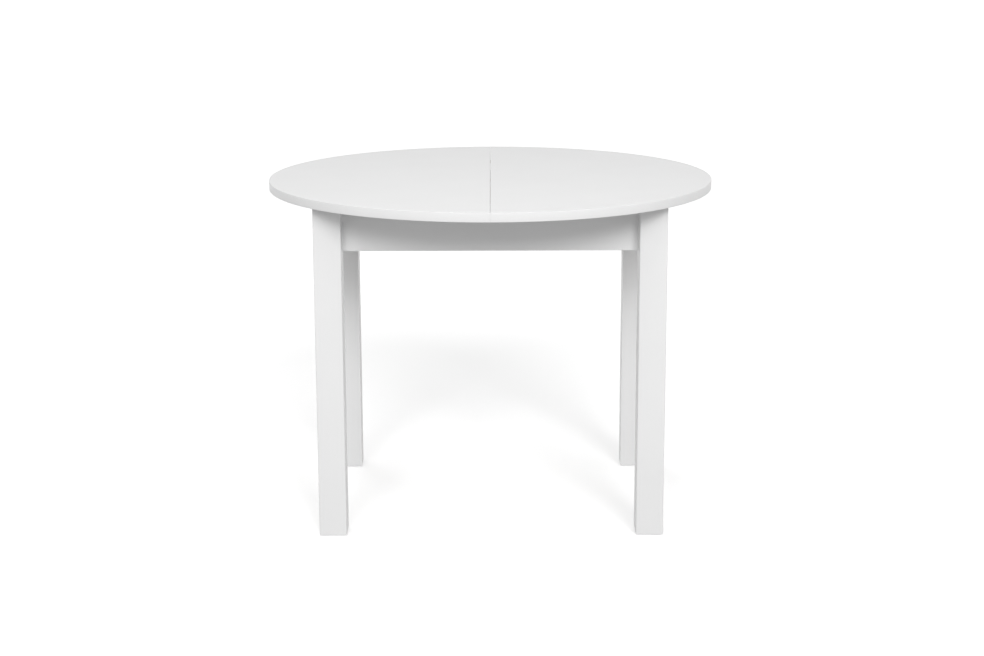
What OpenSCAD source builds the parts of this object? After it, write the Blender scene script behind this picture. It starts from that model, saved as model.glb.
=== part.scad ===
// Round extending dining table. The top is two half rounds that pull apart along X on ball slides
// inside a four-legged frame. Millimetres, +Z up, origin on the floor below the middle of the top.

/* [Table top] */
// Diameter of the closed round top
top_d = 1000; // [940:10:1200]
// Thickness of the top board
top_t = 20; // [16:1:28]
// Height of the top's upper face above the floor
table_h = 760; // [620:5:920]
// Gap between the two halves when the table is closed
seam_gap = 0.4; // [0.4:0.1:2]
// Thickness of the band round the curved edge
band_t = 1.5; // [0.8:0.1:3]
// Thickness of the band along the straight seam edge
seam_band_t = 0.8; // [0.4:0.1:2]

/* [Frame] */
// Width of the frame over the legs, left to right
frame_w = 760; // [630:5:760]
// Depth of the frame over the legs, front to back
frame_d = 580; // [480:5:600]
// Side of the square legs
leg_s = 60; // [50:1:72]
// Height of the aprons
apron_h = 104; // [98:1:130]
// Thickness of the aprons
apron_t = 18; // [15:1:22]
// Gap between the top of the frame and the underside of the top
top_clear = 2; // [1.5:0.1:4]
// Height of the rail across the middle of the frame
crossrail_h = 56; // [40:1:60]
// Thickness of the rail across the middle of the frame
crossrail_t = 18; // [15:1:25]
// Diameter of the glide under each leg
glide_d = 40; // [30:1:48]
// Thickness of the glide under each leg
glide_t = 2; // [1.5:0.5:5]

/* [Slides] */
// Distance that each half of the top pulls out
half_travel = 200; // [160:5:220]
// Height of a slide's outer rail
slide_h = 35; // [32:1:40]
// Depth of a slide from the apron to the runner
slide_t = 13; // [12:0.5:16]
// Thickness of the rails' steel
rail_t = 1.5; // [1.2:0.1:1.8]
// Diameter of the balls
ball_d = 4; // [3.5:0.1:4.5]
// Least spacing of the balls in a row
ball_gap = 16; // [10:1:20]
// Thickness of the cage's wall
cage_t = 0.8; // [0.6:0.1:1]
// Thickness of the wooden runner under the top
runner_t = 18; // [15:1:25]

/* [Seam fittings] */
// Diameter of the seam dowels
dowel_d = 8; // [6:0.5:9]
// Length of a seam dowel
dowel_l = 30; // [24:1:40]
// Spacing of the three seam dowels
dowel_pitch = 300; // [250:10:380]
// Distance of each seam lock from the middle of the seam
lock_y = 120; // [90:5:130]
// Distance from a lock's pivot to its keeper stud
lock_reach = 40; // [36:1:48]
// Diameter of the keeper stud
stud_d = 6; // [5:0.5:7]

/* [Fasteners] */
// Diameter of the hanger bolts
bolt_d = 8; // [6:1:10]
// Thickness of the steel in the brackets
plate_t = 2; // [1.5:0.5:3]
// Distance from the frame's inner corner to the bracket's ends
bracket_reach = 45; // [40:1:55]
// Height of the corner brackets
bracket_h = 50; // [44:1:54]
// Diameter of the wood screws
screw_d = 4; // [3:0.5:4.5]

/* [Hidden] */

$fn = 64;
LEFT = -1;
RIGHT = 1;
FRONT = -1;
REAR = 1;
eps = 0.5;                                  // how far a cut runs past the face it opens
fit = 0.05;                                 // radial play of a shank or a ball in its seat
slip = 0.4;                                 // play between flat faces that pass each other

white = "white";
satin_white = [0.95, 0.95, 0.94];
beech = [0.80, 0.66, 0.47];
steel = [0.72, 0.73, 0.74];
polished = [0.85, 0.86, 0.88];
grey_plastic = [0.55, 0.55, 0.56];

top_r = top_d / 2;
under_z = table_h - top_t;
frame_z = under_z - top_clear;              // top of the legs and aprons
apron_z = frame_z - apron_h;
inner_x = frame_w / 2 - leg_s;              // inner faces of the side aprons and the legs
inner_y = frame_d / 2 - leg_s;              // inner faces of the front and rear aprons
leg_x = frame_w / 2 - leg_s / 2;
leg_y = frame_d / 2 - leg_s / 2;
leg_chamfer = 8;
peg_d = 8;
peg_l = 15;

// Slides: rails lie along X on the inner faces of the front and rear aprons.
rail_end_gap = 4;                           // from the inner face of a side apron to the rail's end
seam_end_gap = 16;                          // from the seam to the rail's other end
slide_l = inner_x - rail_end_gap - seam_end_gap;
slide_x = seam_end_gap + slide_l / 2;
slide_drop = 1;                             // from the top of the frame to the outer rail
slide_z = frame_z - slide_drop - slide_h / 2;
runner_play = 1;                            // the outer rail stops this far short of the runner
outer_depth = slide_t - runner_play;
cage_back = 1.2;                            // from the outer rail's web to the cage
cage_front = 0.6;                           // from the cage to the inner rail
ball_back = 5;                              // from the outer rail's web to the balls' middle
lip_h = 1.6;
race_z = slide_h / 2 - rail_t - fit - ball_d / 2;
inner_h = 2 * (race_z - fit - ball_d / 2);
inner_depth = slide_t - rail_t - cage_back - cage_t - cage_front;
ball_y = slide_t - rail_t - ball_back;      // ball centre, measured out from the runner's face
cage_l = slide_l - half_travel - 2 * rail_end_gap;
cage_x = slide_x + (slide_l - half_travel) / 2 - slide_l / 2 + half_travel / 2;
cage_y = slide_t - rail_t - cage_back;      // back of the cage, measured from the runner's face
cage_lip = 2.6;
ball_run = cage_l - 2 * ball_d;             // from the first ball in a row to the last
ball_count = floor(ball_run / ball_gap) + 1;
runner_h = under_z - slide_z + slide_h / 2;
runner_y = inner_y - slide_t - runner_t / 2;
notch_play = 3;
notch_w = slide_t + runner_t + notch_play;
notch_h = frame_z - (under_z - runner_h) + notch_play;
outer_screw_run = 0.42 * slide_l;           // from a rail's middle to its outer screws
inner_screw_run = 0.2 * slide_l;
runner_screw_run = 0.38 * slide_l;

// Fittings below the seam
dowel_in = 0.6 * dowel_l;
dowel_z = table_h - top_t / 2;
glue_room = 1;                              // past the end of a glued dowel or peg
bush_room = 2;                              // past the end of the dowel in its bush
bush_t = 1.5;
bush_play = 0.1;
lock_x = -28;
lever_w = 16;
lever_t = 3;
lever_z = under_z - plate_t - slip - lever_t;
tab_l = 12;
tab_h = 9;
rivet_d = 6;
rivet_head_d = rivet_d + 5;
stud_play = 0.3;
head_t = 1.8;
head_d = stud_d + 4;
base_w = 28;
base_l = 44;
keeper_w = 24;
keeper_l = 44;
keeper_shift = 4;                           // from the stud out to the middle of the keeper's plate
plate_screw_y = 16;                         // from the middle of a lock's plate to its screws

// Screws
screw_head_d = 2 * screw_d;
screw_l = 16;
short_screw_l = screw_l - 2;                // through a rail
low_head_t = 0.8;
runner_screw_l = runner_h + 0.6 * top_t;
recess_w = 0.2 * screw_d;
recess_l = 1.1 * screw_d;

bracket_z = apron_z + 8;
bolt_edge = 12;                             // from the bracket's edge to a bolt's axis
bracket_flange = 30;
bolt_rise = bracket_h / 2 - bolt_edge;
nut_h = 6.5;
nut_d = 1.63 * bolt_d;
washer_t = 1.6;
bolt_bury = 34;
bolt_room = 1;                              // past the bolt's end in the leg
bolt_proud = 4;                             // from the nut to the bolt's end
bracket_hole_play = 1;
diagonal = bracket_reach / sqrt(2);
crossrail_drop = 2;                         // from the outer rails to the crossrail
crossrail_z = slide_z - slide_h / 2 - crossrail_drop - crossrail_h;
angle_w = 30;
angle_h = 40;
angle_screw_l = crossrail_t / 2 - 1;        // the screws from both sides don't meet
angle_screw_run = 19;                       // from the angle bracket's corner to its screws
angle_screw_rise = 11;                      // from the middle of the angle bracket to its screws
angle_screw_step = 3;                       // how much higher and lower the rail's own screws are
pad_w = apron_t - 2;
pad_l = 44;
pad_y = 110;

// A half circle of radius r lying to the side sx of the plane x = sx * x0
module half_disc(r, sx, x0, h) {
    intersection() {
        cylinder(h = h, r = r, $fn = 240);
        translate([sx > 0 ? x0 : -r - x0, -r, 0])
            cube([r, 2 * r, h]);
    }
}

// A screw along -Z with its head's face at z = 0, and a crossed recess in the head
module screw(l, d = screw_d, head = screw_head_d, head_h = 2) {
    difference() {
        union() {
            translate([0, 0, -l])
                cylinder(h = l - head_h / 2, d = d, $fn = 24);
            translate([0, 0, -head_h])
                cylinder(h = head_h, d1 = d, d2 = head, $fn = 24);
        }
        for (turn = [0, 90])
            rotate([0, 0, turn])
                translate([-recess_l / 2, -recess_w / 2, -head_h / 2])
                    cube([recess_l, recess_w, head_h]);
    }
}

// The hole that a screw needs, with a seat for its head
module screw_hole(l, d = screw_d, head = screw_head_d, head_h = 2) {
    translate([0, 0, -l - eps])
        cylinder(h = l + 2 * eps, d = d + 2 * fit, $fn = 24);
    translate([0, 0, -head_h - fit])
        cylinder(h = head_h + 2 * fit, d1 = d + 2 * fit, d2 = head + 4 * fit, $fn = 24);
}

// ---- Top ----

// Places what follows along one side's two runners, at each runner screw
module at_runner_screws(sx) {
    for (sy = [FRONT, REAR])
        for (step = [-1, 0, 1])
            translate([sx * slide_x + step * runner_screw_run, sy * runner_y, under_z - runner_h])
                rotate([180, 0, 0])
                    children();
}

module at_lock_screws(sx) {
    for (sy = [FRONT, REAR])
        for (step = [-1, 1])
            translate([sx < 0 ? lock_x : lock_x + lock_reach + keeper_shift,
                sy * lock_y + step * plate_screw_y, under_z - plate_t])
                rotate([180, 0, 0])
                    children();
}

module top_panel(sx) {
    face = seam_gap / 2 + seam_band_t;
    color(white)
        difference() {
            translate([0, 0, under_z])
                half_disc(top_r - band_t, sx, face, top_t);
            at_runner_screws(sx)
                screw_hole(runner_screw_l);
            at_lock_screws(sx)
                screw_hole(screw_l);
            at_seam_dowels()
                seam_bore(sx);
        }
}

module edge_band(sx) {
    face = seam_gap / 2;
    color(white)
        translate([0, 0, under_z])
            intersection() {
                difference() {
                    cylinder(h = top_t, r = top_r, $fn = 240);
                    translate([0, 0, -eps])
                        cylinder(h = top_t + 2 * eps, r = top_r - band_t, $fn = 240);
                }
                translate([sx > 0 ? face : -top_r - face, -top_r, 0])
                    cube([top_r, 2 * top_r, top_t]);
            }
}

module seam_band(sx) {
    face = seam_gap / 2;
    reach = sqrt(pow(top_r - band_t, 2) - pow(face + seam_band_t, 2)) - fit;
    color(white)
        difference() {
            translate([sx > 0 ? face : -face - seam_band_t, -reach, under_z])
                cube([seam_band_t, 2 * reach, top_t]);
            at_seam_dowels()
                seam_bore(sx);
        }
}

module at_seam_dowels() {
    for (step = [-1, 0, 1])
        translate([0, step * dowel_pitch, dowel_z])
            rotate([0, 90, 0])
                children();
}

// The blind hole on one side of the seam: for the dowel on the left, for its bush on the right
module seam_bore(sx) {
    if (sx < 0)
        translate([0, 0, -dowel_in - glue_room])
            cylinder(h = dowel_in + glue_room, d = dowel_d + 2 * fit);
    else
        cylinder(h = bush_l() + seam_gap / 2, d = bush_d() + 2 * fit);
}

function bush_d() = dowel_d + 2 * bush_play + 2 * bush_t;
function bush_l() = dowel_l - dowel_in + bush_room;

module seam_dowels() {
    color(beech)
        at_seam_dowels()
            translate([0, 0, -dowel_in])
                cylinder(h = dowel_l, d = dowel_d);
}

module seam_bushes() {
    color(grey_plastic)
        at_seam_dowels()
            translate([0, 0, seam_gap / 2])
                difference() {
                    cylinder(h = bush_l(), d = bush_d());
                    translate([0, 0, -eps])
                        cylinder(h = bush_l() - bush_t + eps, d = dowel_d + 2 * bush_play);
                }
}

// ---- Frame ----

// The pair of holes, bolts, washers or nuts on one corner's diagonal, with +Z pointing into the frame
module at_corner_bolts(sx, sy) {
    for (rise = [-bolt_rise, bolt_rise])
        translate([sx * inner_x, sy * inner_y, bracket_z + bracket_h / 2 + rise])
            rotate([0, 0, atan2(-sy, -sx)])
                rotate([0, 90, 0])
                    children();
}

module corner_bolt_holes(sx, sy) {
    at_corner_bolts(sx, sy)
        translate([0, 0, -bolt_bury])
            cylinder(h = bolt_bury + bolt_d, d = bolt_d + 2 * fit, $fn = 32);
}

module leg(sx, sy) {
    foot = glide_t;
    color(satin_white)
        difference() {
            translate([sx * leg_x - leg_s / 2, sy * leg_y - leg_s / 2, foot])
                cube([leg_s, leg_s, frame_z - foot]);
            translate([sx * inner_x, sy * inner_y, apron_z])
                rotate([0, 0, 45])
                    translate([-leg_chamfer / 2, -leg_chamfer / 2, 0])
                        cube([leg_chamfer, leg_chamfer, apron_h + eps]);
            corner_bolt_holes(sx, sy);
            translate([sx * leg_x, sy * leg_y, foot - eps])
                cylinder(h = peg_l + glue_room + eps, d = peg_d + 2 * fit, $fn = 32);
        }
}

module leg_glides() {
    color(grey_plastic)
        for (sx = [LEFT, RIGHT])
            for (sy = [FRONT, REAR])
                translate([sx * leg_x, sy * leg_y, 0]) {
                    cylinder(h = glide_t, d = glide_d);
                    translate([0, 0, glide_t])
                        cylinder(h = peg_l, d = peg_d, $fn = 32);
                }
}

// Every wood screw that holds one corner bracket, with +Z pointing out of the wood
module at_bracket_screws(sx, sy) {
    run = bracket_reach + bracket_flange / 2;
    for (rise = [-bolt_rise, bolt_rise])
        translate([0, 0, bracket_z + bracket_h / 2 + rise]) {
            translate([sx * (inner_x - run), sy * (inner_y - plate_t), 0])
                rotate([sy * 90, 0, 0])
                    children();
            translate([sx * (inner_x - plate_t), sy * (inner_y - run), 0])
                rotate([0, -sx * 90, 0])
                    children();
        }
}

// The screws of the angle brackets at one end of the centre rail
module at_angle_screws(sy) {
    for (sx = [LEFT, RIGHT])
        for (rise = [-1, 1])
            translate([0, 0, crossrail_z + crossrail_h / 2 + rise * angle_screw_rise]) {
                translate([sx * (crossrail_t / 2 + angle_screw_run), sy * (inner_y - plate_t), 0])
                    rotate([sy * 90, 0, 0])
                        children();
                translate([sx * (crossrail_t / 2 + plate_t), sy * (inner_y - angle_screw_run),
                    rise * angle_screw_step])
                    rotate([0, sx * 90, 0])
                        children();
            }
}

// The screws of one outer rail. Their heads are low, because the cage passes over them
module at_outer_screws(sx, sy) {
    for (step = [-1, 0, 1])
        translate([sx * slide_x + step * outer_screw_run, sy * (inner_y - rail_t - low_head_t), slide_z])
            rotate([sy * 90, 0, 0])
                children();
}

module long_apron(sy) {
    color(satin_white)
        difference() {
            translate([-inner_x, sy > 0 ? inner_y : -inner_y - apron_t, apron_z])
                cube([2 * inner_x, apron_t, apron_h]);
            for (sx = [LEFT, RIGHT]) {
                corner_bolt_holes(sx, sy);
                at_bracket_screws(sx, sy)
                    screw_hole(screw_l);
                at_outer_screws(sx, sy)
                    screw_hole(short_screw_l, head_h = low_head_t);
            }
            at_angle_screws(sy)
                screw_hole(screw_l);
        }
}

// A side apron, notched at both top corners so that the runners pass over it
module side_apron(sx) {
    color(satin_white)
        difference() {
            translate([sx > 0 ? inner_x : -inner_x - apron_t, -inner_y, apron_z])
                cube([apron_t, 2 * inner_y, apron_h]);
            for (sy = [FRONT, REAR]) {
                translate([sx * (inner_x + apron_t / 2) - apron_t, sy * (inner_y - notch_w / 2) - notch_w / 2
                    - (sy < 0 ? eps : 0), frame_z - notch_h])
                    cube([2 * apron_t, notch_w + eps, notch_h + eps]);
                corner_bolt_holes(sx, sy);
                at_bracket_screws(sx, sy)
                    screw_hole(screw_l);
            }
        }
}

module centre_crossrail() {
    color(beech)
        difference() {
            translate([-crossrail_t / 2, -inner_y, crossrail_z])
                cube([crossrail_t, 2 * inner_y, crossrail_h]);
            for (sy = [FRONT, REAR])
                at_angle_screws(sy)
                    screw_hole(angle_screw_l);
        }
}

module crossrail_brackets() {
    color(steel)
        for (sx = [LEFT, RIGHT])
            for (sy = [FRONT, REAR])
                difference() {
                    translate([0, 0, crossrail_z + (crossrail_h - angle_h) / 2])
                        linear_extrude(height = angle_h)
                            polygon([for (p = [[0, 0], [angle_w, 0], [angle_w, plate_t], [plate_t, plate_t],
                                [plate_t, angle_w], [0, angle_w]])
                                [sx * (crossrail_t / 2 + p[0]), sy * (inner_y - p[1])]]);
                    at_angle_screws(sy)
                        screw_hole(plate_t);
                }
}

// A pressed steel plate across one inner corner, with a flange on each apron
module corner_bracket(sx, sy) {
    a = bracket_reach;
    b = bracket_reach + bracket_flange;
    t = plate_t;
    c = bracket_reach + plate_t * (sqrt(2) - 1);
    color(steel)
        difference() {
            translate([0, 0, bracket_z])
                linear_extrude(height = bracket_h)
                    polygon([for (p = [[b, 0], [a, 0], [0, a], [0, b], [t, b], [t, c], [c, t], [b, t]])
                        [sx * (inner_x - p[0]), sy * (inner_y - p[1])]]);
            at_corner_bolts(sx, sy)
                cylinder(h = 2 * diagonal, d = bolt_d + bracket_hole_play, $fn = 32);
            at_bracket_screws(sx, sy)
                screw_hole(plate_t);
        }
}

module at_all_corner_bolts() {
    for (sx = [LEFT, RIGHT])
        for (sy = [FRONT, REAR])
            at_corner_bolts(sx, sy)
                children();
}

// Distance from the frame's inner corner to the bracket's inside face
function bracket_face() = diagonal + plate_t;

module hanger_bolts() {
    length = bolt_bury - bolt_room + bracket_face() + washer_t + nut_h + bolt_proud;
    color(steel)
        at_all_corner_bolts()
            translate([0, 0, bolt_room - bolt_bury])
                cylinder(h = length, d = bolt_d, $fn = 32);
}

module bolt_washers() {
    color(steel)
        at_all_corner_bolts()
            translate([0, 0, bracket_face()])
                difference() {
                    cylinder(h = washer_t, d = 2 * bolt_d, $fn = 32);
                    translate([0, 0, -eps])
                        cylinder(h = washer_t + 2 * eps, d = bolt_d + 2 * fit, $fn = 32);
                }
}

module bolt_nuts() {
    color(steel)
        at_all_corner_bolts()
            translate([0, 0, bracket_face() + washer_t])
                difference() {
                    cylinder(h = nut_h, d = 2 * nut_d / sqrt(3), $fn = 6);
                    translate([0, 0, -eps])
                        cylinder(h = nut_h + 2 * eps, d = bolt_d + 2 * fit, $fn = 32);
                }
}

module frame_screws() {
    color(steel)
        for (sy = [FRONT, REAR]) {
            at_angle_screws(sy)
                screw(angle_screw_l);
            for (sx = [LEFT, RIGHT])
                at_bracket_screws(sx, sy)
                    screw(screw_l);
        }
}

// Slippery pads on the side aprons, just below the underside of the top
module apron_pads() {
    color(grey_plastic)
        for (sx = [LEFT, RIGHT])
            for (sy = [FRONT, REAR])
                translate([sx * (inner_x + apron_t / 2) - pad_w / 2, sy * pad_y - pad_l / 2, frame_z])
                    cube([pad_w, pad_l, top_clear - 2 * fit]);
}

// ---- Slides ----

// Turns a slide's own section into place: section x runs from the runner's face to the apron,
// section y is height above the middle of the slide, and the length lies along X
module along_slide(sx, sy, x, l) {
    translate([sx * x - l / 2, sy * (inner_y - slide_t), slide_z])
        mirror([0, sy > 0 ? 0 : 1, 0])
            rotate([90, 0, 90])
                linear_extrude(height = l)
                    children();
}

module outer_rail(sx, sy) {
    color(steel)
        difference() {
            along_slide(sx, sy, slide_x, slide_l)
                difference() {
                    translate([slide_t - outer_depth, -slide_h / 2])
                        square([outer_depth, slide_h]);
                    translate([slide_t - outer_depth + rail_t, rail_t - slide_h / 2])
                        square([outer_depth - 2 * rail_t, slide_h - 2 * rail_t]);
                    translate([slide_t - outer_depth - eps, rail_t + lip_h - slide_h / 2])
                        square([rail_t + 2 * eps, slide_h - 2 * (rail_t + lip_h)]);
                }
            at_outer_screws(sx, sy)
                screw_hole(rail_t + low_head_t, head_h = low_head_t);
        }
}

// The screws that hold the inner rail to its runner, with +Z pointing towards the apron
module at_inner_screws(sx, sy) {
    for (step = [-1, 1])
        translate([sx * slide_x + step * inner_screw_run, sy * (inner_y - slide_t + rail_t), slide_z])
            rotate([-sy * 90, 0, 0])
                children();
}

module inner_rail(sx, sy) {
    color(steel)
        difference() {
            along_slide(sx, sy, slide_x, slide_l)
                difference() {
                    translate([0, -inner_h / 2])
                        square([inner_depth, inner_h]);
                    translate([rail_t, rail_t - inner_h / 2])
                        square([inner_depth, inner_h - 2 * rail_t]);
                }
            at_inner_screws(sx, sy)
                screw_hole(rail_t);
        }
}

// Each ball of one slide, in two rows above and below the inner rail
module at_balls(sx, sy) {
    for (row = [-1, 1])
        for (i = [0 : ball_count - 1])
            translate([sx * cage_x + (i / (ball_count - 1) - 1 / 2) * ball_run,
                sy * (inner_y - slide_t + ball_y), slide_z + row * race_z])
                children();
}

module cage(sx, sy) {
    reach = cage_y - ball_y + cage_lip;
    color(grey_plastic)
        difference() {
            along_slide(sx, sy, cage_x, cage_l)
                difference() {
                    translate([cage_y - reach, -race_z - cage_t / 2])
                        square([reach, 2 * race_z + cage_t]);
                    translate([cage_y - reach - cage_t, -race_z + cage_t / 2])
                        square([reach, 2 * race_z - cage_t]);
                }
            at_balls(sx, sy)
                translate([0, 0, -cage_t])
                    cylinder(h = 2 * cage_t, d = ball_d + 2 * slip, $fn = 24);
        }
}

module balls(sx) {
    color(polished)
        for (sy = [FRONT, REAR])
            at_balls(sx, sy)
                sphere(d = ball_d, $fn = 24);
}

module runner(sx, sy) {
    color(beech)
        difference() {
            translate([sx * slide_x - slide_l / 2, sy * runner_y - runner_t / 2, under_z - runner_h])
                cube([slide_l, runner_t, runner_h]);
            at_runner_screws(sx)
                screw_hole(runner_screw_l);
            at_inner_screws(sx, sy)
                screw_hole(short_screw_l);
        }
}

module outer_rail_screws() {
    color(steel)
        for (sx = [LEFT, RIGHT])
            for (sy = [FRONT, REAR])
                at_outer_screws(sx, sy)
                    screw(short_screw_l, head_h = low_head_t);
}

// The screws of one side's two runners: up into the top, and through the inner rails
module runner_screws(sx) {
    color(steel) {
        at_runner_screws(sx)
            screw(runner_screw_l);
        for (sy = [FRONT, REAR])
            at_inner_screws(sx, sy)
                screw(short_screw_l);
    }
}

// ---- Seam locks ----

module lock_base(sy) {
    color(steel)
        difference() {
            translate([lock_x - base_w / 2, sy * lock_y - base_l / 2, under_z - plate_t])
                cube([base_w, base_l, plate_t]);
            at_lock_screws(LEFT)
                screw_hole(plate_t);
            translate([lock_x, sy * lock_y, under_z - plate_t - eps])
                cylinder(h = plate_t + 2 * eps, d = rivet_d + 2 * fit, $fn = 32);
        }
}

// The lever lies along the seam when open. Its slot is an arc about the pivot, open on the side
// that leads as the lever swings, so it closes round the keeper's stud
module lock_lever(sy) {
    color(steel)
        translate([lock_x, sy * lock_y, lever_z])
            mirror([0, sy > 0 ? 1 : 0, 0])
                rotate([0, 0, 90])
                    difference() {
                        union() {
                            cylinder(h = lever_t, d = lever_w);
                            translate([0, -lever_w / 2, 0])
                                cube([lock_reach + tab_l, lever_w, lever_t]);
                            translate([lock_reach + tab_l, -lever_w / 2, -tab_h])
                                cube([lever_t, lever_w, tab_h + lever_t]);
                        }
                        translate([0, 0, -eps])
                            cylinder(h = lever_t + 2 * eps, d = rivet_d + 2 * fit, $fn = 32);
                        translate([lock_reach, 0, -eps])
                            cylinder(h = lever_t + 2 * eps, d = stud_d + 2 * stud_play, $fn = 32);
                        intersection() {
                            difference() {
                                translate([0, 0, -eps])
                                    cylinder(h = lever_t + 2 * eps, r = lock_reach + stud_d / 2 + stud_play);
                                translate([0, 0, -2 * eps])
                                    cylinder(h = lever_t + 4 * eps, r = lock_reach - stud_d / 2 - stud_play);
                            }
                            translate([0, -lever_w, -eps])
                                cube([lock_reach + stud_d, lever_w, lever_t + 2 * eps]);
                        }
                    }
}

module lock_rivets() {
    color(steel)
        for (sy = [FRONT, REAR])
            translate([lock_x, sy * lock_y, lever_z - slip - head_t]) {
                cylinder(h = head_t, d = rivet_head_d, $fn = 32);
                cylinder(h = under_z - lever_z + slip + head_t, d = rivet_d, $fn = 32);
            }
}

module lock_keeper(sy) {
    x = lock_x + lock_reach;
    color(steel) {
        difference() {
            translate([x - keeper_w / 2 + keeper_shift, sy * lock_y - keeper_l / 2, under_z - plate_t])
                cube([keeper_w, keeper_l, plate_t]);
            at_lock_screws(RIGHT)
                screw_hole(plate_t);
        }
        translate([x, sy * lock_y, lever_z - slip])
            cylinder(h = lever_t + 2 * slip + eps, d = stud_d, $fn = 32);
        translate([x, sy * lock_y, lever_z - slip - head_t])
            cylinder(h = head_t, d = head_d, $fn = 32);
    }
}

module plate_screws(sx) {
    color(steel)
        at_lock_screws(sx)
            screw(screw_l);
}

top_panel(LEFT);  // left_top_panel
top_panel(RIGHT);  // right_top_panel
edge_band(LEFT);  // left_edge_band
edge_band(RIGHT);  // right_edge_band
seam_band(LEFT);  // left_seam_band
seam_band(RIGHT);  // right_seam_band
seam_dowels();
seam_bushes();
leg(LEFT, FRONT);  // front_left_leg
leg(RIGHT, FRONT);  // front_right_leg
leg(LEFT, REAR);  // rear_left_leg
leg(RIGHT, REAR);  // rear_right_leg
leg_glides();
long_apron(FRONT);  // front_apron
long_apron(REAR);  // rear_apron
side_apron(LEFT);  // left_apron
side_apron(RIGHT);  // right_apron
centre_crossrail();
crossrail_brackets();
corner_bracket(LEFT, FRONT);  // front_left_bracket
corner_bracket(RIGHT, FRONT);  // front_right_bracket
corner_bracket(LEFT, REAR);  // rear_left_bracket
corner_bracket(RIGHT, REAR);  // rear_right_bracket
hanger_bolts();
bolt_washers();
bolt_nuts();
frame_screws();
apron_pads();
runner(LEFT, FRONT);  // left_front_runner
runner(LEFT, REAR);  // left_rear_runner
runner(RIGHT, FRONT);  // right_front_runner
runner(RIGHT, REAR);  // right_rear_runner
outer_rail(LEFT, FRONT);  // left_front_outer_rail
outer_rail(LEFT, REAR);  // left_rear_outer_rail
outer_rail(RIGHT, FRONT);  // right_front_outer_rail
outer_rail(RIGHT, REAR);  // right_rear_outer_rail
inner_rail(LEFT, FRONT);  // left_front_inner_rail
inner_rail(LEFT, REAR);  // left_rear_inner_rail
inner_rail(RIGHT, FRONT);  // right_front_inner_rail
inner_rail(RIGHT, REAR);  // right_rear_inner_rail
cage(LEFT, FRONT);  // left_front_cage
cage(LEFT, REAR);  // left_rear_cage
cage(RIGHT, FRONT);  // right_front_cage
cage(RIGHT, REAR);  // right_rear_cage
balls(LEFT);  // left_balls
balls(RIGHT);  // right_balls
outer_rail_screws();
runner_screws(LEFT);  // left_runner_screws
runner_screws(RIGHT);  // right_runner_screws
lock_base(FRONT);  // front_lock_base
lock_base(REAR);  // rear_lock_base
lock_lever(FRONT);  // front_lock_lever
lock_lever(REAR);  // rear_lock_lever
lock_rivets();
lock_keeper(FRONT);  // front_lock_keeper
lock_keeper(REAR);  // rear_lock_keeper
plate_screws(LEFT);  // lock_screws
plate_screws(RIGHT);  // keeper_screws
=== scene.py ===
"""A white round extending table: two half-round leaves on ball slides in a four-legged frame."""
import math

import bmesh
import bpy
from mathutils import Euler, Matrix, Vector


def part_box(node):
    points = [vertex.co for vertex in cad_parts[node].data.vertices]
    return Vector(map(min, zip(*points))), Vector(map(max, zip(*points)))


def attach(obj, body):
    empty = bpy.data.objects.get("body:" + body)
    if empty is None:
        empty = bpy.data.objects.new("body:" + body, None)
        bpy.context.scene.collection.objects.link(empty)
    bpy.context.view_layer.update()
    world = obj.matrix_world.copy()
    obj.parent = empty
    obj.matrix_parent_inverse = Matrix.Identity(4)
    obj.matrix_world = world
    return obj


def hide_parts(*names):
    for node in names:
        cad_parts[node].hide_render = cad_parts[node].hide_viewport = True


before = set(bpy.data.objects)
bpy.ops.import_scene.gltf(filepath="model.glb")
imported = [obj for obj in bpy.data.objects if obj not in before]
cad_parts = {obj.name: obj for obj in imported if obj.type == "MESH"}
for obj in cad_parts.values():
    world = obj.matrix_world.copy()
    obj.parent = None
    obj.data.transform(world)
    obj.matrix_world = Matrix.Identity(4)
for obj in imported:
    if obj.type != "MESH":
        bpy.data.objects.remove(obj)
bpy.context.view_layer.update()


# ---- The two half-round boards of the top --------------------------------------------------
# Chipboard faced on both sides with white melamine, which has a fine pearl grain pressed into
# it. Each board is sawn to a half round, and its rims are banded after that.

SIDES = {"left": -1, "right": 1}
SAME_PLACE = 1e-6


def put_in_scene(name, bm, material, body, node, sharp=40):
    """Turns a bmesh into a piece that rides on a body and stands for a CAD node.

    Edges that turn by more than sharp, in degrees, show as edges. With sharp=None every face
    is flat.
    """
    mesh = bpy.data.meshes.new(name)
    bmesh.ops.recalc_face_normals(bm, faces=bm.faces)
    bm.to_mesh(mesh)
    bm.free()
    if sharp is not None:
        mesh.shade_smooth()
        mesh.set_sharp_from_angle(angle=math.radians(sharp))
    piece = bpy.data.objects.new(name, mesh)
    bpy.context.scene.collection.objects.link(piece)
    mesh.materials.append(material)
    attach(piece, body)
    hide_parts(node)
    return piece


BROAD_MOTTLE = 9
GLOSS_LOW, GLOSS_HIGH = 0.9, 1.12


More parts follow.
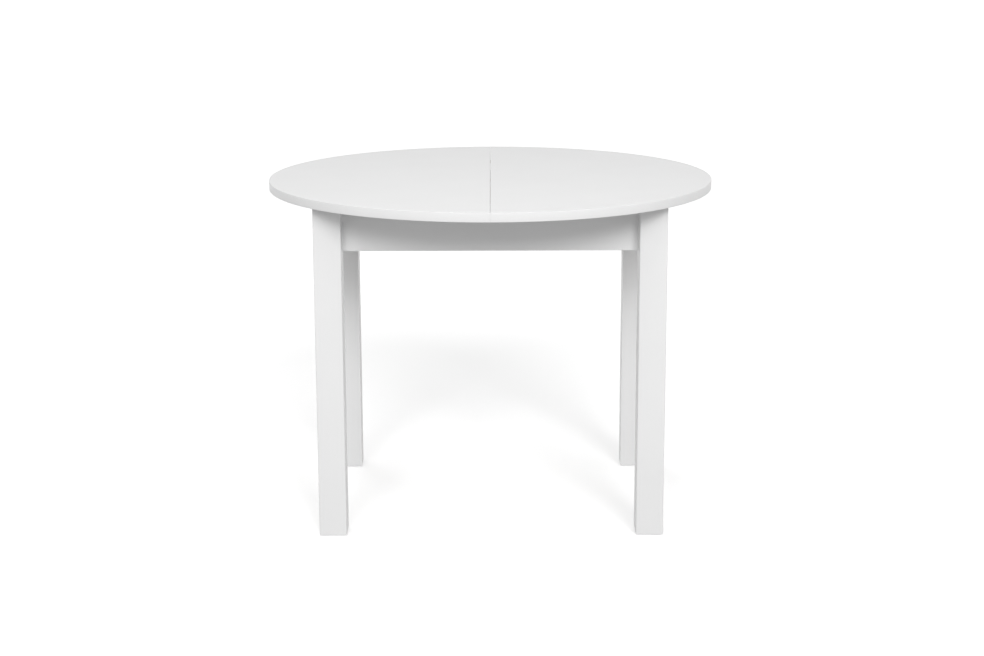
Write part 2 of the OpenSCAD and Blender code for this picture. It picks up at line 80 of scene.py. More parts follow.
def surface(name, light, dark, grain, stretch, rough, relief, **sockets):
    """A principled material with a fine mottle in its colour, its gloss and its relief.

    Grain is how fine the mottle is, stretch its scale along X, Y and Z, relief its depth in
    metres, and sockets are further inputs of the shader, with _ for each space in their names.
    """
    material = bpy.data.materials.new(name)
    material.use_nodes = True
    nodes, links = material.node_tree.nodes, material.node_tree.links
    shader = nodes["Principled BSDF"]
    for socket, value in sockets.items():
        shader.inputs[socket.replace("_", " ")].default_value = value
    place = nodes.new("ShaderNodeTexCoord")
    mapping = nodes.new("ShaderNodeMapping")
    mapping.inputs["Scale"].default_value = stretch
    links.new(place.outputs["Object"], mapping.inputs["Vector"])
    fine = nodes.new("ShaderNodeTexNoise")
    fine.inputs["Scale"].default_value = grain
    fine.inputs["Detail"].default_value = 6
    broad = nodes.new("ShaderNodeTexNoise")
    broad.inputs["Scale"].default_value = BROAD_MOTTLE
    broad.inputs["Detail"].default_value = 3
    links.new(mapping.outputs["Vector"], fine.inputs["Vector"])
    links.new(place.outputs["Object"], broad.inputs["Vector"])
    both = nodes.new("ShaderNodeMath")
    both.operation = "MULTIPLY_ADD"
    both.inputs[1].default_value = 0.5
    links.new(fine.outputs["Fac"], both.inputs[0])
    half = nodes.new("ShaderNodeMath")
    half.operation = "MULTIPLY"
    half.inputs[1].default_value = 0.5
    links.new(broad.outputs["Fac"], half.inputs[0])
    links.new(half.outputs["Value"], both.inputs[2])
    tint = nodes.new("ShaderNodeValToRGB")
    tint.color_ramp.elements[0].position = 0.35
    tint.color_ramp.elements[0].color = (*dark, 1)
    tint.color_ramp.elements[1].position = 0.65
    tint.color_ramp.elements[1].color = (*light, 1)
    links.new(both.outputs["Value"], tint.inputs["Fac"])
    links.new(tint.outputs["Color"], shader.inputs["Base Color"])
    gloss = nodes.new("ShaderNodeMapRange")
    gloss.inputs["To Min"].default_value = rough * GLOSS_LOW
    gloss.inputs["To Max"].default_value = rough * GLOSS_HIGH
    links.new(both.outputs["Value"], gloss.inputs["Value"])
    links.new(gloss.outputs["Result"], shader.inputs["Roughness"])
    bump = nodes.new("ShaderNodeBump")
    bump.inputs["Distance"].default_value = relief
    bump.inputs["Strength"].default_value = 0.6
    links.new(fine.outputs["Fac"], bump.inputs["Height"])
    links.new(bump.outputs["Normal"], shader.inputs["Normal"])
    return material


BORE_OVERCUT = 0.001


def cut_bores(bm, places, radius, depth, into):
    """Sinks round holes into a board or strip, square to its seam face, towards into = -1 or 1."""
    board = bpy.data.meshes.new("board")
    bm.to_mesh(board)
    bm.free()
    solid = bpy.data.objects.new("board", board)
    tool = bmesh.new()
    for place in places:
        turn = Matrix.Rotation(math.pi / 2, 4, "Y")
        at = Matrix.Translation(place + Vector((into * (depth / 2 - BORE_OVERCUT), 0, 0))) @ turn
        bmesh.ops.create_cone(tool, cap_ends=True, segments=32, radius1=radius,
            radius2=radius, depth=depth + 2 * BORE_OVERCUT, matrix=at)
    tool_mesh = bpy.data.meshes.new("bores")
    tool.to_mesh(tool_mesh)
    tool.free()
    cutter = bpy.data.objects.new("bores", tool_mesh)
    for helper in (solid, cutter):
        bpy.context.scene.collection.objects.link(helper)
    cut = solid.modifiers.new("bores", "BOOLEAN")
    cut.operation = "DIFFERENCE"
    cut.object = cutter
    graph = bpy.context.evaluated_depsgraph_get()
    drilled = bmesh.new()
    drilled.from_mesh(solid.evaluated_get(graph).to_mesh())
    for helper in (solid, cutter):
        data = helper.data
        bpy.data.objects.remove(helper)
        bpy.data.meshes.remove(data)
    return drilled


laminate = surface("white_laminate", (0.785, 0.785, 0.785), (0.77, 0.77, 0.77), 900, (1, 1, 1),
    0.56, 0.00006, Specular_IOR_Level=0.2)

dowel_low, dowel_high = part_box("seam_dowels")
bush_low, bush_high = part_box("seam_bushes")
dowel_radius = (dowel_high.z - dowel_low.z) / 2
bush_radius = (bush_high.z - bush_low.z) / 2
dowel_z = (dowel_high.z + dowel_low.z) / 2
dowel_rows = (dowel_low.y + dowel_radius, 0, dowel_high.y - dowel_radius)
ARC_STEPS = 180
ARRIS = 0.00015

for side, sx in SIDES.items():
    low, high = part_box(f"{side}_top_panel")
    seam_x = high.x if sx < 0 else low.x
    radius = math.hypot(high.y, seam_x)
    disc = bmesh.new()
    bmesh.ops.create_circle(disc, cap_ends=True, segments=2 * ARC_STEPS, radius=radius,
        matrix=Matrix.Translation((0, 0, low.z)))
    bmesh.ops.bisect_plane(disc, geom=disc.verts[:] + disc.edges[:] + disc.faces[:],
        plane_co=(seam_x, 0, 0), plane_no=(sx, 0, 0), clear_inner=True)
    grown = bmesh.ops.extrude_face_region(disc, geom=disc.faces[:])["geom"]
    risen = [g for g in grown if isinstance(g, bmesh.types.BMVert)]
    bmesh.ops.translate(disc, verts=risen, vec=(0, 0, high.z - low.z))
    if sx < 0:
        bore_radius, bore_depth = dowel_radius, seam_x - dowel_low.x
    else:
        bore_radius, bore_depth = bush_radius, bush_high.x - seam_x
    seats = [Vector((seam_x, y, dowel_z)) for y in dowel_rows]
    disc = cut_bores(disc, seats, bore_radius, bore_depth, sx)
    board = put_in_scene(f"{side}_board", disc, laminate, f"{side}_top", f"{side}_top_panel",
        sharp=None)
    arris = board.modifiers.new("arris", "BEVEL")
    arris.width = ARRIS
    arris.segments = 1
    arris.limit_method = "ANGLE"
    arris.angle_limit = math.radians(60)


# ---- The bands round the curved edges ------------------------------------------------------
# White plastic strip, glued to each board's curved edge with hot glue. Its two outer corners
# are trimmed to a small radius, which catches a thin line of light round the top.

band_plastic = surface("white_edge_band", (0.785, 0.785, 0.785), (0.77, 0.77, 0.77), 420, (1, 1, 1),
    0.34, 0.00003, Specular_IOR_Level=0.46)
BAND_ROUND = 0.0009

for side, sx in SIDES.items():
    low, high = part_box(f"{side}_edge_band")
    board_low, board_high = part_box(f"{side}_top_panel")
    seam_x = high.x if sx < 0 else low.x
    outer = math.hypot(high.y, seam_x)
    inner = math.hypot(board_high.y, board_high.x if sx < 0 else board_low.x)
    start = math.asin(abs(seam_x) / outer)
    strip = bmesh.new()
    corners = [strip.verts.new((0, -r, z)) for r, z in
        ((inner, low.z), (outer, low.z), (outer, high.z), (inner, high.z))]
    section = strip.faces.new(corners)
    rims = [e for e in section.edges if abs(e.verts[0].co.y + outer) < SAME_PLACE
        and abs(e.verts[1].co.y + outer) < SAME_PLACE]
    bmesh.ops.bevel(strip, geom=[v for e in rims for v in e.verts], offset=BAND_ROUND, segments=4,
        profile=0.5, affect="VERTICES", material=-1)
    bmesh.ops.rotate(strip, verts=strip.verts[:], cent=(0, 0, 0),
        matrix=Matrix.Rotation(sx * start, 3, "Z"))
    bmesh.ops.spin(strip, geom=strip.faces[:] + strip.edges[:] + strip.verts[:], cent=(0, 0, 0),
        axis=(0, 0, 1), angle=sx * (math.pi - 2 * start), steps=ARC_STEPS)
    bmesh.ops.remove_doubles(strip, verts=strip.verts[:], dist=SAME_PLACE)
    put_in_scene(f"{side}_rim_band", strip, band_plastic, f"{side}_top", f"{side}_edge_band",
        sharp=50)


# ---- The bands along the seam --------------------------------------------------------------
# The straight sawn edges carry a thinner strip of the same plastic, bored for the seam dowels
# on one half and for their bushes on the other.

SEAM_ROUND = 0.0004


def block(low, high):
    """A plain block between its lowest and highest corners."""
    shape = bmesh.new()
    bmesh.ops.create_cube(shape, size=1,
        matrix=Matrix.LocRotScale((low + high) / 2, None, high - low))
    return shape


def soften(shape, edges, width, segments=3):
    """Rounds edges off by a width in metres. With one segment it cuts them flat."""
    bmesh.ops.bevel(shape, geom=list(edges), offset=width, segments=segments, profile=0.5,
        affect="EDGES", material=-1)


for side, sx in SIDES.items():
    low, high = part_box(f"{side}_seam_band")
    strip = block(low, high)
    face_x = high.x if sx < 0 else low.x
    rims = [e for e in strip.edges if all(abs(v.co.x - face_x) < SAME_PLACE for v in e.verts)
        and abs(e.verts[0].co.z - e.verts[1].co.z) < SAME_PLACE]
    soften(strip, rims, SEAM_ROUND)
    strip = cut_bores(strip, [Vector((face_x, y, dowel_z)) for y in dowel_rows],
        dowel_radius if sx < 0 else bush_radius, 2 * (high.x - low.x), sx)
    put_in_scene(f"{side}_seam_strip", strip, band_plastic, f"{side}_top", f"{side}_seam_band",
        sharp=None)


# ---- The legs ------------------------------------------------------------------------------
# Square posts in white satin lacquer with softened edges. The inner corner is cut flat over
# the height of the aprons, where the hanger bolts go in.

ENDS = {"front": -1, "rear": 1}


def satin_lacquer(name, stretch):
    """White lacquer over board or solid wood, its brush marks drawn out along one axis."""
    return surface(name, (0.80, 0.80, 0.80), (0.785, 0.785, 0.785), 700, stretch, 0.38, 0.00005,
        Specular_IOR_Level=0.45)


lacquer = satin_lacquer("white_lacquer", (1, 1, 0.12))
LEG_ROUND = 0.0022
FOOT_ROUND = 0.0012
CORNER_FLAT = 0.0057
LONG = 0.05
apron_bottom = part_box("front_apron")[0].z


def long_edges(shape, axis):
    """The edges that run the length of a post or board, which lies along axis 0, 1 or 2."""
    return [e for e in shape.edges if abs(e.verts[0].co[axis] - e.verts[1].co[axis]) > LONG]


def at_corner(edge, x, y):
    """True for an edge that stands at x, y."""
    return all(abs(v.co.x - x) < SAME_PLACE and abs(v.co.y - y) < SAME_PLACE for v in edge.verts)


for end, sy in ENDS.items():
    for side, sx in SIDES.items():
        low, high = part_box(f"{end}_{side}_leg")
        post = block(low, high)
        bmesh.ops.bisect_plane(post, geom=post.verts[:] + post.edges[:] + post.faces[:],
            plane_co=(0, 0, apron_bottom), plane_no=(0, 0, 1))
        inner_x = low.x if sx > 0 else high.x
        inner_y = low.y if sy > 0 else high.y
        outer = [e for e in long_edges(post, 2) if not at_corner(e, inner_x, inner_y)]
        soften(post, outer, LEG_ROUND, segments=4)
        by_apron = [e for e in long_edges(post, 2) if at_corner(e, inner_x, inner_y)
            and min(v.co.z for v in e.verts) > apron_bottom - SAME_PLACE]
        soften(post, by_apron, CORNER_FLAT, segments=1)
        foot = [e for e in post.edges if all(abs(v.co.z - low.z) < SAME_PLACE for v in e.verts)]
        soften(post, foot, FOOT_ROUND, segments=2)
        put_in_scene(f"{end}_{side}_post", post, lacquer, "root", f"{end}_{side}_leg")


# ---- The glides under the legs -------------------------------------------------------------
# Round acetal pads with a softened lower rim, which keep the end grain off the floor. A peg on
# each one is glued into a hole in the leg's end.

def turned(profile, steps=48):
    """Turns a profile of (radius, height) points about Z into a closed shape.

    The profile starts and ends on the axis, or it ends where it started and makes a ring.
    """
    shape = bmesh.new()
    verts = [shape.verts.new((r, 0, h)) for r, h in profile]
    edges = [shape.edges.new(pair) for pair in zip(verts, verts[1:])]
    bmesh.ops.spin(shape, geom=verts + edges, cent=(0, 0, 0), axis=(0, 0, 1), angle=math.tau,
        steps=steps, use_merge=True)
    bmesh.ops.remove_doubles(shape, verts=shape.verts[:], dist=SAME_PLACE)
    return shape


def repeated(shape, places):
    """Copies a shape to each place, which is a matrix, and returns them all as one bmesh."""
    one = bpy.data.meshes.new("one")
    shape.to_mesh(one)
    shape.free()
    every = bmesh.new()
    for place in places:
        one.transform(place)
        every.from_mesh(one)
        one.transform(place.inverted())
    bpy.data.meshes.remove(one)
    return every


def rounded(radius, height, round_off, steps=5):
    """The lower outer corner of a turned piece, as points of a quarter round."""
    turns = [math.pi / 2 * i / steps for i in range(steps + 1)]
    return [(radius - round_off * (1 - math.sin(t)), height + round_off * (1 - math.cos(t)))
        for t in turns]


pad_acetal = surface("pale_acetal", (0.76, 0.76, 0.74), (0.71, 0.71, 0.69), 260, (1, 1, 1),
    0.5, 0.00004, Specular_IOR_Level=0.4)
GLIDE_ROUND = 0.0008
GLIDE_PEG = 0.004

glide_low, glide_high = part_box("leg_glides")
corner_low, corner_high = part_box("rear_right_leg")
foot = (corner_low + corner_high) / 2
radius = glide_high.x - foot.x
glide = turned([(0, 0), *rounded(radius, 0, GLIDE_ROUND), (radius, corner_low.z),
    (GLIDE_PEG, corner_low.z), (GLIDE_PEG, glide_high.z), (0, glide_high.z)])
glides = repeated(glide, [Matrix.Translation((sx * foot.x, sy * foot.y, 0))
    for sx in SIDES.values() for sy in ENDS.values()])
put_in_scene("leg_glide_pads", glides, pad_acetal, "root", "leg_glides")


# ---- The aprons ----------------------------------------------------------------------------
# Lacquered boards between the legs, flush with the legs' inner faces. The side aprons are
# notched at both top corners, where the runners of the top pass over them.

APRON_ROUND = 0.0015
NOTCH_PLAY = 0.003
lacquer_along_x = satin_lacquer("white_lacquer_along_x", (0.12, 1, 1))
lacquer_along_y = satin_lacquer("white_lacquer_along_y", (1, 0.12, 1))

for end in ENDS:
    low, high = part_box(f"{end}_apron")
    rail = block(low, high)
    soften(rail, long_edges(rail, 0), APRON_ROUND)
    put_in_scene(f"{end}_apron_board", rail, lacquer_along_x, "root", f"{end}_apron")

for side in SIDES:
    low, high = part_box(f"{side}_apron")
    runner_low, runner_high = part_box(f"{side}_rear_runner")
    notch_y = runner_low.y - NOTCH_PLAY
    notch_z = runner_low.z - NOTCH_PLAY
    half = [(high.y, low.z), (high.y, notch_z), (notch_y, notch_z), (notch_y, high.z)]
    outline = half + [(-y, z) for y, z in reversed(half)]
    rail = bmesh.new()
    face = rail.faces.new([rail.verts.new((low.x, y, z)) for y, z in outline])
    grown = bmesh.ops.extrude_face_region(rail, geom=[face])["geom"]
    bmesh.ops.translate(rail, verts=[g for g in grown if isinstance(g, bmesh.types.BMVert)],
        vec=(high.x - low.x, 0, 0))
    rims = [e for e in rail.edges if abs(e.verts[0].co.x - e.verts[1].co.x) < SAME_PLACE
        and min(abs(v.co.y) for v in e.verts) < high.y - SAME_PLACE]
    soften(rail, rims, APRON_ROUND)
    put_in_scene(f"{side}_apron_board", rail, lacquer_along_y, "root", f"{side}_apron")


# ---- The rail across the middle of the frame -----------------------------------------------
# Planed beech with softened edges, screwed to the long aprons through angle brackets. It keeps
# the two aprons, and so the slides on them, from spreading.

# Each layer of beech: how fine its noise is, its scale along the grain, and its detail.
BEECH_GROWTH = (190, 0.05, 5)
BEECH_FLECKS = (1100, 0.13, 2)


def beech(name, along):
    """Planed beech with its grain along one axis, and the short dark flecks that beech shows."""
    material = bpy.data.materials.new(name)
    material.use_nodes = True
    nodes, links = material.node_tree.nodes, material.node_tree.links
    shader = nodes["Principled BSDF"]
    shader.inputs["Specular IOR Level"].default_value = 0.35
    place = nodes.new("ShaderNodeTexCoord")
    layers = []
    for grain, stretch, detail in (BEECH_GROWTH, BEECH_FLECKS):
        mapping = nodes.new("ShaderNodeMapping")
        mapping.inputs["Scale"].default_value = [stretch if axis == along else 1 for axis in "XYZ"]
        links.new(place.outputs["Object"], mapping.inputs["Vector"])
        noise = nodes.new("ShaderNodeTexNoise")
        noise.inputs["Scale"].default_value = grain
        noise.inputs["Detail"].default_value = detail
        links.new(mapping.outputs["Vector"], noise.inputs["Vector"])
        layers.append(noise.outputs["Fac"])
    growth_layer, fleck_layer = layers
    growth = nodes.new("ShaderNodeValToRGB")
    growth.color_ramp.elements[0].position = 0.32
    growth.color_ramp.elements[0].color = (0.52, 0.335, 0.185, 1)
    growth.color_ramp.elements[1].position = 0.68
    growth.color_ramp.elements[1].color = (0.70, 0.50, 0.31, 1)
    links.new(growth_layer, growth.inputs["Fac"])
    fleck = nodes.new("ShaderNodeMapRange")
    fleck.inputs["From Min"].default_value = 0.60
    fleck.inputs["From Max"].default_value = 0.68
    fleck.inputs["To Max"].default_value = 0.45
    links.new(fleck_layer, fleck.inputs["Value"])
    tint = nodes.new("ShaderNodeMix")
    tint.data_type = "RGBA"
    tint.inputs["B"].default_value = (0.30, 0.16, 0.08, 1)
    links.new(fleck.outputs["Result"], tint.inputs["Factor"])
    links.new(growth.outputs["Color"], tint.inputs["A"])
    links.new(tint.outputs["Result"], shader.inputs["Base Color"])
    gloss = nodes.new("ShaderNodeMapRange")
    gloss.inputs["To Min"].default_value = 0.5
    gloss.inputs["To Max"].default_value = 0.68
    links.new(growth_layer, gloss.inputs["Value"])
    links.new(gloss.outputs["Result"], shader.inputs["Roughness"])
    bump = nodes.new("ShaderNodeBump")
    bump.inputs["Distance"].default_value = 0.0001
    bump.inputs["Strength"].default_value = 0.5
    links.new(fleck_layer, bump.inputs["Height"])
    links.new(bump.outputs["Normal"], shader.inputs["Normal"])
    return material


CROSSRAIL_ROUND = 0.0012
low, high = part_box("centre_crossrail")
rail = block(low, high)
soften(rail, long_edges(rail, 1), CROSSRAIL_ROUND)
put_in_scene("centre_crossrail_board", rail, beech("beech_along_y", "Y"), "root",
    "centre_crossrail")


# ---- The brackets and their screws ---------------------------------------------------------
# Pressed steel, bright zinc plated: a plate across each inner corner, and angle brackets at
# the ends of the middle rail.

def dress(node, material):
    """Gives a piece that is used as it comes from the frame its surface."""
    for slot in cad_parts[node].material_slots:
        slot.material = material


zinc = surface("bright_zinc", (0.66, 0.67, 0.69), (0.54, 0.55, 0.57), 240, (1, 1, 1), 0.36,
    0.00003, Metallic=1.0)
screw_zinc = surface("screw_zinc", (0.72, 0.71, 0.68), (0.60, 0.59, 0.57), 500, (1, 1, 1), 0.30,
    0.00002, Metallic=1.0)
for end in ENDS:
    for side in SIDES:
        dress(f"{end}_{side}_bracket", zinc)
dress("crossrail_brackets", zinc)
dress("frame_screws", screw_zinc)


# ---- The hanger bolts, washers and nuts ----------------------------------------------------
# Two threaded steel bolts run from each leg's corner along the diagonal and through the
# bracket. Their nuts draw the leg into the corner of the aprons.

PITCH = 0.00125
THREAD_DEPTH = 0.0006
THREAD_STEPS = 16
THREAD_MERGE = 2e-6
THREAD_CUT = 1e-7
BOLT_IN_LEG = 0.033
BOLT_PAST_NUT = 0.004
BRACKET_FLANGE = 0.030
BRACKET_PLATE = 0.002
WASHER = 0.0016
NUT_HEIGHT = 0.0065
NUT_WIDTH = 0.013
NUT_FACE = 0.95
NUT_CHAMFER = math.radians(30)
BOLT_RADIUS = 0.004
BOLT_BELOW_EDGE = 0.012

bolt_steel = surface("bolt_zinc", (0.63, 0.64, 0.67), (0.50, 0.51, 0.54), 350, (1, 1, 1), 0.34,
    0.00002, Metallic=1.0)


def threaded_rod(start, end):
    """A rod along Z with a rolled thread, made as one spiral surface and cut flat at its ends."""
    rod = bmesh.new()
    root = BOLT_RADIUS - THREAD_DEPTH
    verts = [rod.verts.new((r, 0, start - PITCH + h)) for r, h in
        ((root, 0), (BOLT_RADIUS, PITCH / 2), (root, PITCH))]
    edges = [rod.edges.new(pair) for pair in zip(verts, verts[1:])]
    turns = math.ceil((end - start) / PITCH) + 1
    bmesh.ops.spin(rod, geom=verts + edges, cent=(0, 0, 0), axis=(0, 0, 1), angle=math.tau * turns,
        dvec=(0, 0, PITCH / THREAD_STEPS), steps=THREAD_STEPS * turns)
    bmesh.ops.remove_doubles(rod, verts=rod.verts[:], dist=THREAD_MERGE)
    for height, away in ((start, -1), (end, 1)):
        bmesh.ops.bisect_plane(rod, geom=rod.verts[:] + rod.edges[:] + rod.faces[:],
            dist=THREAD_CUT, plane_co=(0, 0, height), plane_no=(0, 0, away), clear_outer=True)
    bmesh.ops.holes_fill(rod, edges=[e for e in rod.edges if e.is_boundary], sides=0)
    return rod


def hexagon_nut(base):
    """A nut along Z, turned as a ring with a chamfered face, then drawn out to six corners."""
    flat = NUT_WIDTH / 2
    face = NUT_FACE * flat
    top = base + NUT_HEIGHT
    section = [(BOLT_RADIUS, base), (face, base), (flat, base), (flat, top), (face, top),
        (BOLT_RADIUS, top)]
    shape = turned([*section, section[0]], steps=24)
    for v in shape.verts:
        if v.co.xy.length > (face + flat) / 2:
            angle = math.atan2(v.co.y, v.co.x)
            corner = flat / math.cos((angle + math.pi / 6) % (math.pi / 3) - math.pi / 6)
            slope = (corner - face) * math.tan(NUT_CHAMFER)
            inward = 1 if v.co.z < (base + top) / 2 else -1
            v.co = (corner * math.cos(angle), corner * math.sin(angle), v.co.z + inward * slope)
    return shape


bracket_low, bracket_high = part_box("rear_right_bracket")
inner_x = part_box("right_apron")[0].x
inner_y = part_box("rear_apron")[0].y
bracket_reach = inner_x - bracket_low.x - BRACKET_FLANGE
bracket_face = bracket_reach / math.sqrt(2) + BRACKET_PLATE
bolt_rise = (bracket_high.z - bracket_low.z) / 2 - BOLT_BELOW_EDGE
bolt_end = bracket_face + WASHER + NUT_HEIGHT + BOLT_PAST_NUT

bracket_z = (bracket_low.z + bracket_high.z) / 2
corners = [Matrix.Translation((sx * inner_x, sy * inner_y, bracket_z + rise))
    @ Matrix.Rotation(math.atan2(-sy, -sx), 4, "Z") @ Matrix.Rotation(math.pi / 2, 4, "Y")
    for sx in SIDES.values() for sy in ENDS.values() for rise in (-bolt_rise, bolt_rise)]

for name, node, shape in (
        ("threaded_hanger_bolts", "hanger_bolts", threaded_rod(-BOLT_IN_LEG, bolt_end)),
        ("hexagon_nuts", "bolt_nuts", hexagon_nut(bracket_face + WASHER))):
    put_in_scene(name, repeated(shape, corners), bolt_steel, "root", node,
        sharp=25)
dress("bolt_washers", bolt_steel)


# ---- The slides ----------------------------------------------------------------------------
# Rolled steel rails, zinc plated, with lengthwise marks from the rolls. A moulded cage spaces
# the hardened balls between them. The outer rail is screwed to the apron.

rail_steel = surface("rolled_steel", (0.62, 0.63, 0.65), (0.50, 0.51, 0.53), 650, (0.015, 1, 1),
    0.30, 0.00002, Metallic=1.0)
cage_plastic = surface("moulded_cage", (0.045, 0.045, 0.048), (0.03, 0.03, 0.033), 380, (1, 1, 1),
    0.5, 0.00004, Specular_IOR_Level=0.45)
ball_steel = surface("polished_balls", (0.78, 0.79, 0.81), (0.70, 0.71, 0.73), 900, (1, 1, 1), 0.12,
    0.000002, Metallic=1.0)

for side in SIDES:
    for end in ENDS:
        dress(f"{side}_{end}_outer_rail", rail_steel)
        dress(f"{side}_{end}_inner_rail", rail_steel)
        dress(f"{side}_{end}_cage", cage_plastic)
    dress(f"{side}_balls", ball_steel)
dress("outer_rail_screws", screw_zinc)


# ---- The runners under the top -------------------------------------------------------------
# Beech strips, two under each half of the top, held by long screws up into the board. The
# slides' inner rails are screwed to their sides.

beech_along_x = beech("beech_along_x", "X")
for side in SIDES:
    for end in ENDS:
        dress(f"{side}_{end}_runner", beech_along_x)
    dress(f"{side}_runner_screws", screw_zinc)


# ---- The pads on the side aprons -----------------------------------------------------------
# Slippery acetal pads, glued to the upper edges of the side aprons. They carry a half of the
# top where it passes over, so that the two faces don't rub.

PAD_LENGTH = 0.044
PAD_ROUND = 0.0006
pad_low, pad_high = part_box("apron_pads")
pads = bmesh.new()
for side, sx in SIDES.items():
    low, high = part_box(f"{side}_apron")
    middle_x = (low.x + high.x) / 2
    width = 2 * (pad_high.x - abs(middle_x))
    for sy in ENDS.values():
        middle = Vector((middle_x, sy * (pad_high.y - PAD_LENGTH / 2),
            (pad_low.z + pad_high.z) / 2))
        corners = bmesh.ops.create_cube(pads, size=1, matrix=Matrix.LocRotScale(middle, None,
            Vector((width, PAD_LENGTH, pad_high.z - pad_low.z))))["verts"]
        rims = {e for v in corners for e in v.link_edges
            if max(p.co.z for p in e.verts) > pad_high.z - SAME_PLACE}
        soften(pads, rims, PAD_ROUND)
put_in_scene("apron_glide_pads", pads, pad_acetal, "root", "apron_pads")


# ---- The dowels and bushes of the seam -----------------------------------------------------
# Fluted beech dowels, glued into the left half, enter nylon bushes in the right half and bring
# the two top faces level. Dowels and bushes are chamfered where they meet.

FLUTES = 16
FLUTE_DEPTH = 0.00035
DOWEL_CHAMFER = 0.0012
BUSH_PLAY = 0.0001
BUSH_CHAMFER = 0.0006
nylon = surface("grey_nylon", (0.27, 0.27, 0.275), (0.22, 0.22, 0.225), 300, (1, 1, 1), 0.48,
    0.00004, Specular_IOR_Level=0.4)

peg = bmesh.new()
bmesh.ops.create_cone(peg, cap_ends=True, segments=4 * FLUTES, radius1=dowel_radius,
    radius2=dowel_radius, depth=dowel_high.x - dowel_low.x)
for v in peg.verts:
    if round(math.atan2(v.co.y, v.co.x) / math.tau * 4 * FLUTES) % 4 == 0:
        v.co.xy *= 1 - FLUTE_DEPTH / dowel_radius
rims = [e for e in peg.edges if abs(e.verts[0].co.z - e.verts[1].co.z) < SAME_PLACE]
soften(peg, rims, DOWEL_CHAMFER, segments=2)
along_x = Matrix.Rotation(math.pi / 2, 4, "Y")
pegs = repeated(peg, [Matrix.Translation(((dowel_high.x + dowel_low.x) / 2, y, dowel_z)) @ along_x
    for y in dowel_rows])
put_in_scene("fluted_dowels", pegs, beech_along_x, "left_top", "seam_dowels", sharp=35)

bush_length = bush_high.x - bush_low.x
bore = dowel_radius + BUSH_PLAY
wall = bush_radius - bore
sleeve = turned([(0, bush_length), (bush_radius, bush_length), (bush_radius, BUSH_CHAMFER / 2),
    (bush_radius - BUSH_CHAMFER / 2, 0), (bore + BUSH_CHAMFER, 0), (bore, BUSH_CHAMFER),
    (bore, bush_length - wall), (0, bush_length - wall)])
sleeves = repeated(sleeve, [Matrix.Translation((bush_low.x, y, dowel_z)) @ along_x
    for y in dowel_rows])
put_in_scene("dowel_bushes", sleeves, nylon, "right_top", "seam_bushes", sharp=35)


# ---- The locks under the seam --------------------------------------------------------------
# Pressed steel levers on riveted plates swing across the seam and hook round the studs of
# their keepers, which holds the two halves shut.

for end in ENDS:
    dress(f"{end}_lock_base", zinc)
    dress(f"{end}_lock_lever", zinc)
    dress(f"{end}_lock_keeper", zinc)
dress("lock_rivets", bolt_steel)
dress("lock_screws", screw_zinc)
dress("keeper_screws", screw_zinc)


# ---- Camera, floor and light ---------------------------------------------------------------
# A pale studio: two broad lights in front, to the right and to the left, a weak one behind, a
# soft one overhead, and a white surround.

CAMERA_PLACE = (0.0029, -4.3757, 1.4179)
CAMERA_DOWN = math.radians(13.03)
CAMERA_ROLL = -0.003
camera_data = bpy.data.cameras.new("camera")
camera_data.lens = 70.99
camera_data.sensor_width = 36
camera_data.clip_end = 100
camera = bpy.data.objects.new("camera", camera_data)
bpy.context.scene.collection.objects.link(camera)
tilt = (Euler((math.pi / 2 - CAMERA_DOWN, 0, 0)).to_matrix()
    @ Euler((0, 0, CAMERA_ROLL)).to_matrix())
camera.matrix_world = Matrix.LocRotScale(Vector(CAMERA_PLACE), tilt, None)
bpy.context.scene.camera = camera

floor_mesh = bmesh.new()
bmesh.ops.create_grid(floor_mesh, x_segments=1, y_segments=1, size=40)
floor_data = bpy.data.meshes.new("floor")
floor_mesh.to_mesh(floor_data)
floor_mesh.free()
floor = bpy.data.objects.new("floor", floor_data)
bpy.context.scene.collection.objects.link(floor)
floor_data.materials.append(surface("floor_paint", (0.97, 0.97, 0.97), (0.965, 0.965, 0.965), 40,
    (1, 1, 1), 0.8, 0.0001, Specular_IOR_Level=0.1, Emission_Color=(1, 1, 1, 1),
    Emission_Strength=0.25))
floor.visible_diffuse = False
# The floor is clear from below, so that the underside of the table can be seen through it.
floor_tree = floor_data.materials[0].node_tree
side_seen = floor_tree.nodes.new("ShaderNodeNewGeometry")
clear = floor_tree.nodes.new("ShaderNodeBsdfTransparent")
two_sides = floor_tree.nodes.new("ShaderNodeMixShader")
floor_tree.links.new(side_seen.outputs["Backfacing"], two_sides.inputs["Fac"])
floor_tree.links.new(floor_tree.nodes["Principled BSDF"].outputs["BSDF"], two_sides.inputs[1])
floor_tree.links.new(clear.outputs["BSDF"], two_sides.inputs[2])
floor_tree.links.new(two_sides.outputs["Shader"],
    floor_tree.nodes["Material Output"].inputs["Surface"])

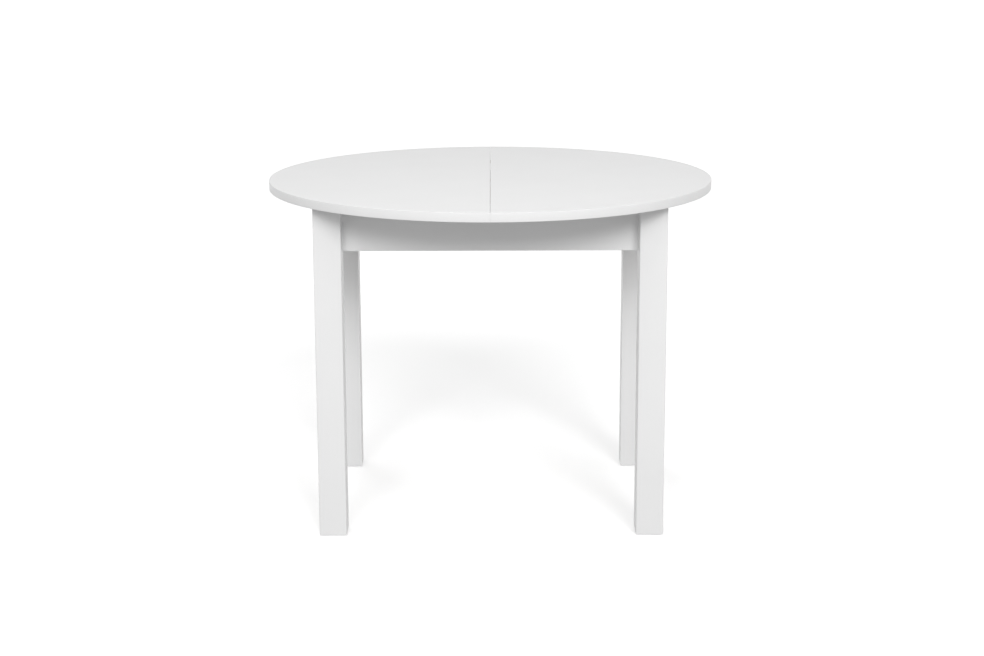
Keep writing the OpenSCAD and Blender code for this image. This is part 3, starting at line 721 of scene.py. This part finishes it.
# Each far light: name, spread across, elevation and turn from the front, all in degrees, power.
far_lights = (("key", 20, 27, 15, 1.25), ("left_key", 20, 27, -10, 0.85),
    ("rear_fill", 34, 32, -145, 0.4))
for name, spread, elevation, turn, power in far_lights:
    far_data = bpy.data.lights.new(name, "SUN")
    far_data.angle = math.radians(spread)
    far_data.energy = power
    far = bpy.data.objects.new(name, far_data)
    far.rotation_euler = (math.radians(90 - elevation), 0, math.radians(turn))
    far.visible_glossy = False
    bpy.context.scene.collection.objects.link(far)

overhead_data = bpy.data.lights.new("overhead", "AREA")
overhead_data.shape = "RECTANGLE"
overhead_data.size, overhead_data.size_y = 1.8, 1.0
overhead_data.energy = 9
overhead = bpy.data.objects.new("overhead", overhead_data)
overhead.location = (0, -1.0, 2.3)
overhead.rotation_euler = (Vector((0, -0.2, 0.76)) - overhead.location).to_track_quat(
    "-Z", "Y").to_euler()
bpy.context.scene.collection.objects.link(overhead)

# The room is darker in front of the table than behind it and shows as plain white behind it.
ROOM_FRONT, ROOM_BACK, ROOM_SEEN = 0.42, 0.60, 1.0
world = bpy.data.worlds.new("studio")
world.use_nodes = True
surround = world.node_tree
backdrop = surround.nodes["Background"]
backdrop.inputs["Color"].default_value = (1, 1, 1, 1)
facing = surround.nodes.new("ShaderNodeTexCoord")
apart = surround.nodes.new("ShaderNodeSeparateXYZ")
surround.links.new(facing.outputs["Generated"], apart.inputs["Vector"])
depth = surround.nodes.new("ShaderNodeMapRange")
depth.inputs["From Min"].default_value = -1
depth.inputs["To Min"].default_value = ROOM_FRONT
depth.inputs["To Max"].default_value = ROOM_BACK
surround.links.new(apart.outputs["Y"], depth.inputs["Value"])
seen = surround.nodes.new("ShaderNodeLightPath")
strength = surround.nodes.new("ShaderNodeMix")
strength.inputs["B"].default_value = ROOM_SEEN
surround.links.new(seen.outputs["Is Camera Ray"], strength.inputs["Factor"])
surround.links.new(depth.outputs["Result"], strength.inputs["A"])
surround.links.new(strength.outputs["Result"], backdrop.inputs["Strength"])
bpy.context.scene.world = world
bpy.context.scene.view_settings.view_transform = "Standard"
